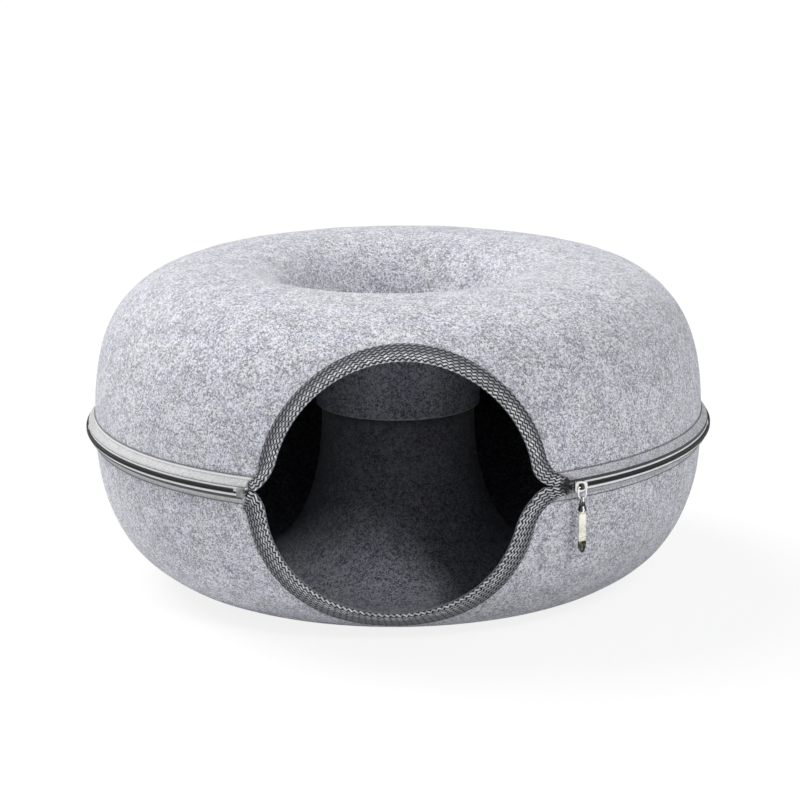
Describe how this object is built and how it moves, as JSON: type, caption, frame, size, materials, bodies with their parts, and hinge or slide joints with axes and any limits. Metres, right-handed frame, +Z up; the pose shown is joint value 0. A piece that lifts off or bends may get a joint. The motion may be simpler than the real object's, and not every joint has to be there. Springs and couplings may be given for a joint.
{
  "type": "donut cat tunnel",
  "caption": "Ring shaped felt tunnel for a cat, in two zipped half shells with a centre hole, a round bound mouth at the front and a zip slider with a hanging metal pull.",
  "frame": {"origin": "on the floor, under the middle of the bounding box; the centre hole's axis is 14 mm in front of it, because the mouth cuts the front of the ring away", "axes": "+Z up, the mouth faces -Y, +X to the right of someone who looks into the mouth"},
  "size_m": [0.6042, 0.5763, 0.3029],
  "materials": {
    "felt": "pressed heather grey felt",
    "mouth_binding": "dark grey herringbone tape",
    "zip_tape": "pale grey woven tape",
    "zip_coil": "black nylon coil",
    "zip_fittings": "satin grey",
    "plated_metal": "bright plating"
  },
  "bodies": {
    "tunnel": {"upper_shell": "felt", "lower_shell": "felt", "upper_mouth_binding": "mouth_binding", "lower_mouth_binding": "mouth_binding", "upper_zip_tape": "zip_tape", "lower_zip_tape": "zip_tape", "upper_zip_coil": "zip_coil", "lower_zip_coil": "zip_coil", "upper_top_stop": "zip_fittings", "lower_top_stop": "zip_fittings", "insert_pin": "zip_fittings", "retainer_box": "zip_fittings"},
    "slider": {"slider_body": "plated_metal"},
    "ring": {"pull_ring": "plated_metal"},
    "link": {"pull_link": "plated_metal", "link_pin": "plated_metal"},
    "tab": {"pull_tab": "plated_metal"}
  },
  "joints": [
    {"name": "slider_travel", "type": "hinge", "parent": "tunnel", "child": "slider", "pos_m": [0, -0.01367, 0.15], "axis": [0, 0, 1], "range_deg": [0, 298]},
    {"name": "ring_swing", "type": "hinge", "parent": "slider", "child": "ring", "pos_m": [0.16122, -0.27228, 0.15], "axis": [-0.8486, -0.529, 0], "range_deg": [-4, 130]},
    {"name": "link_swing", "type": "hinge", "parent": "ring", "child": "link", "pos_m": [0.16122, -0.27228, 0.1394], "axis": [0.8486, 0.529, 0], "range_deg": [-55, 5]},
    {"name": "tab_swing", "type": "hinge", "parent": "link", "child": "tab", "pos_m": [0.16122, -0.27228, 0.1293], "axis": [0.529, -0.8486, 0], "range_deg": [-60, 60]}
  ]
}
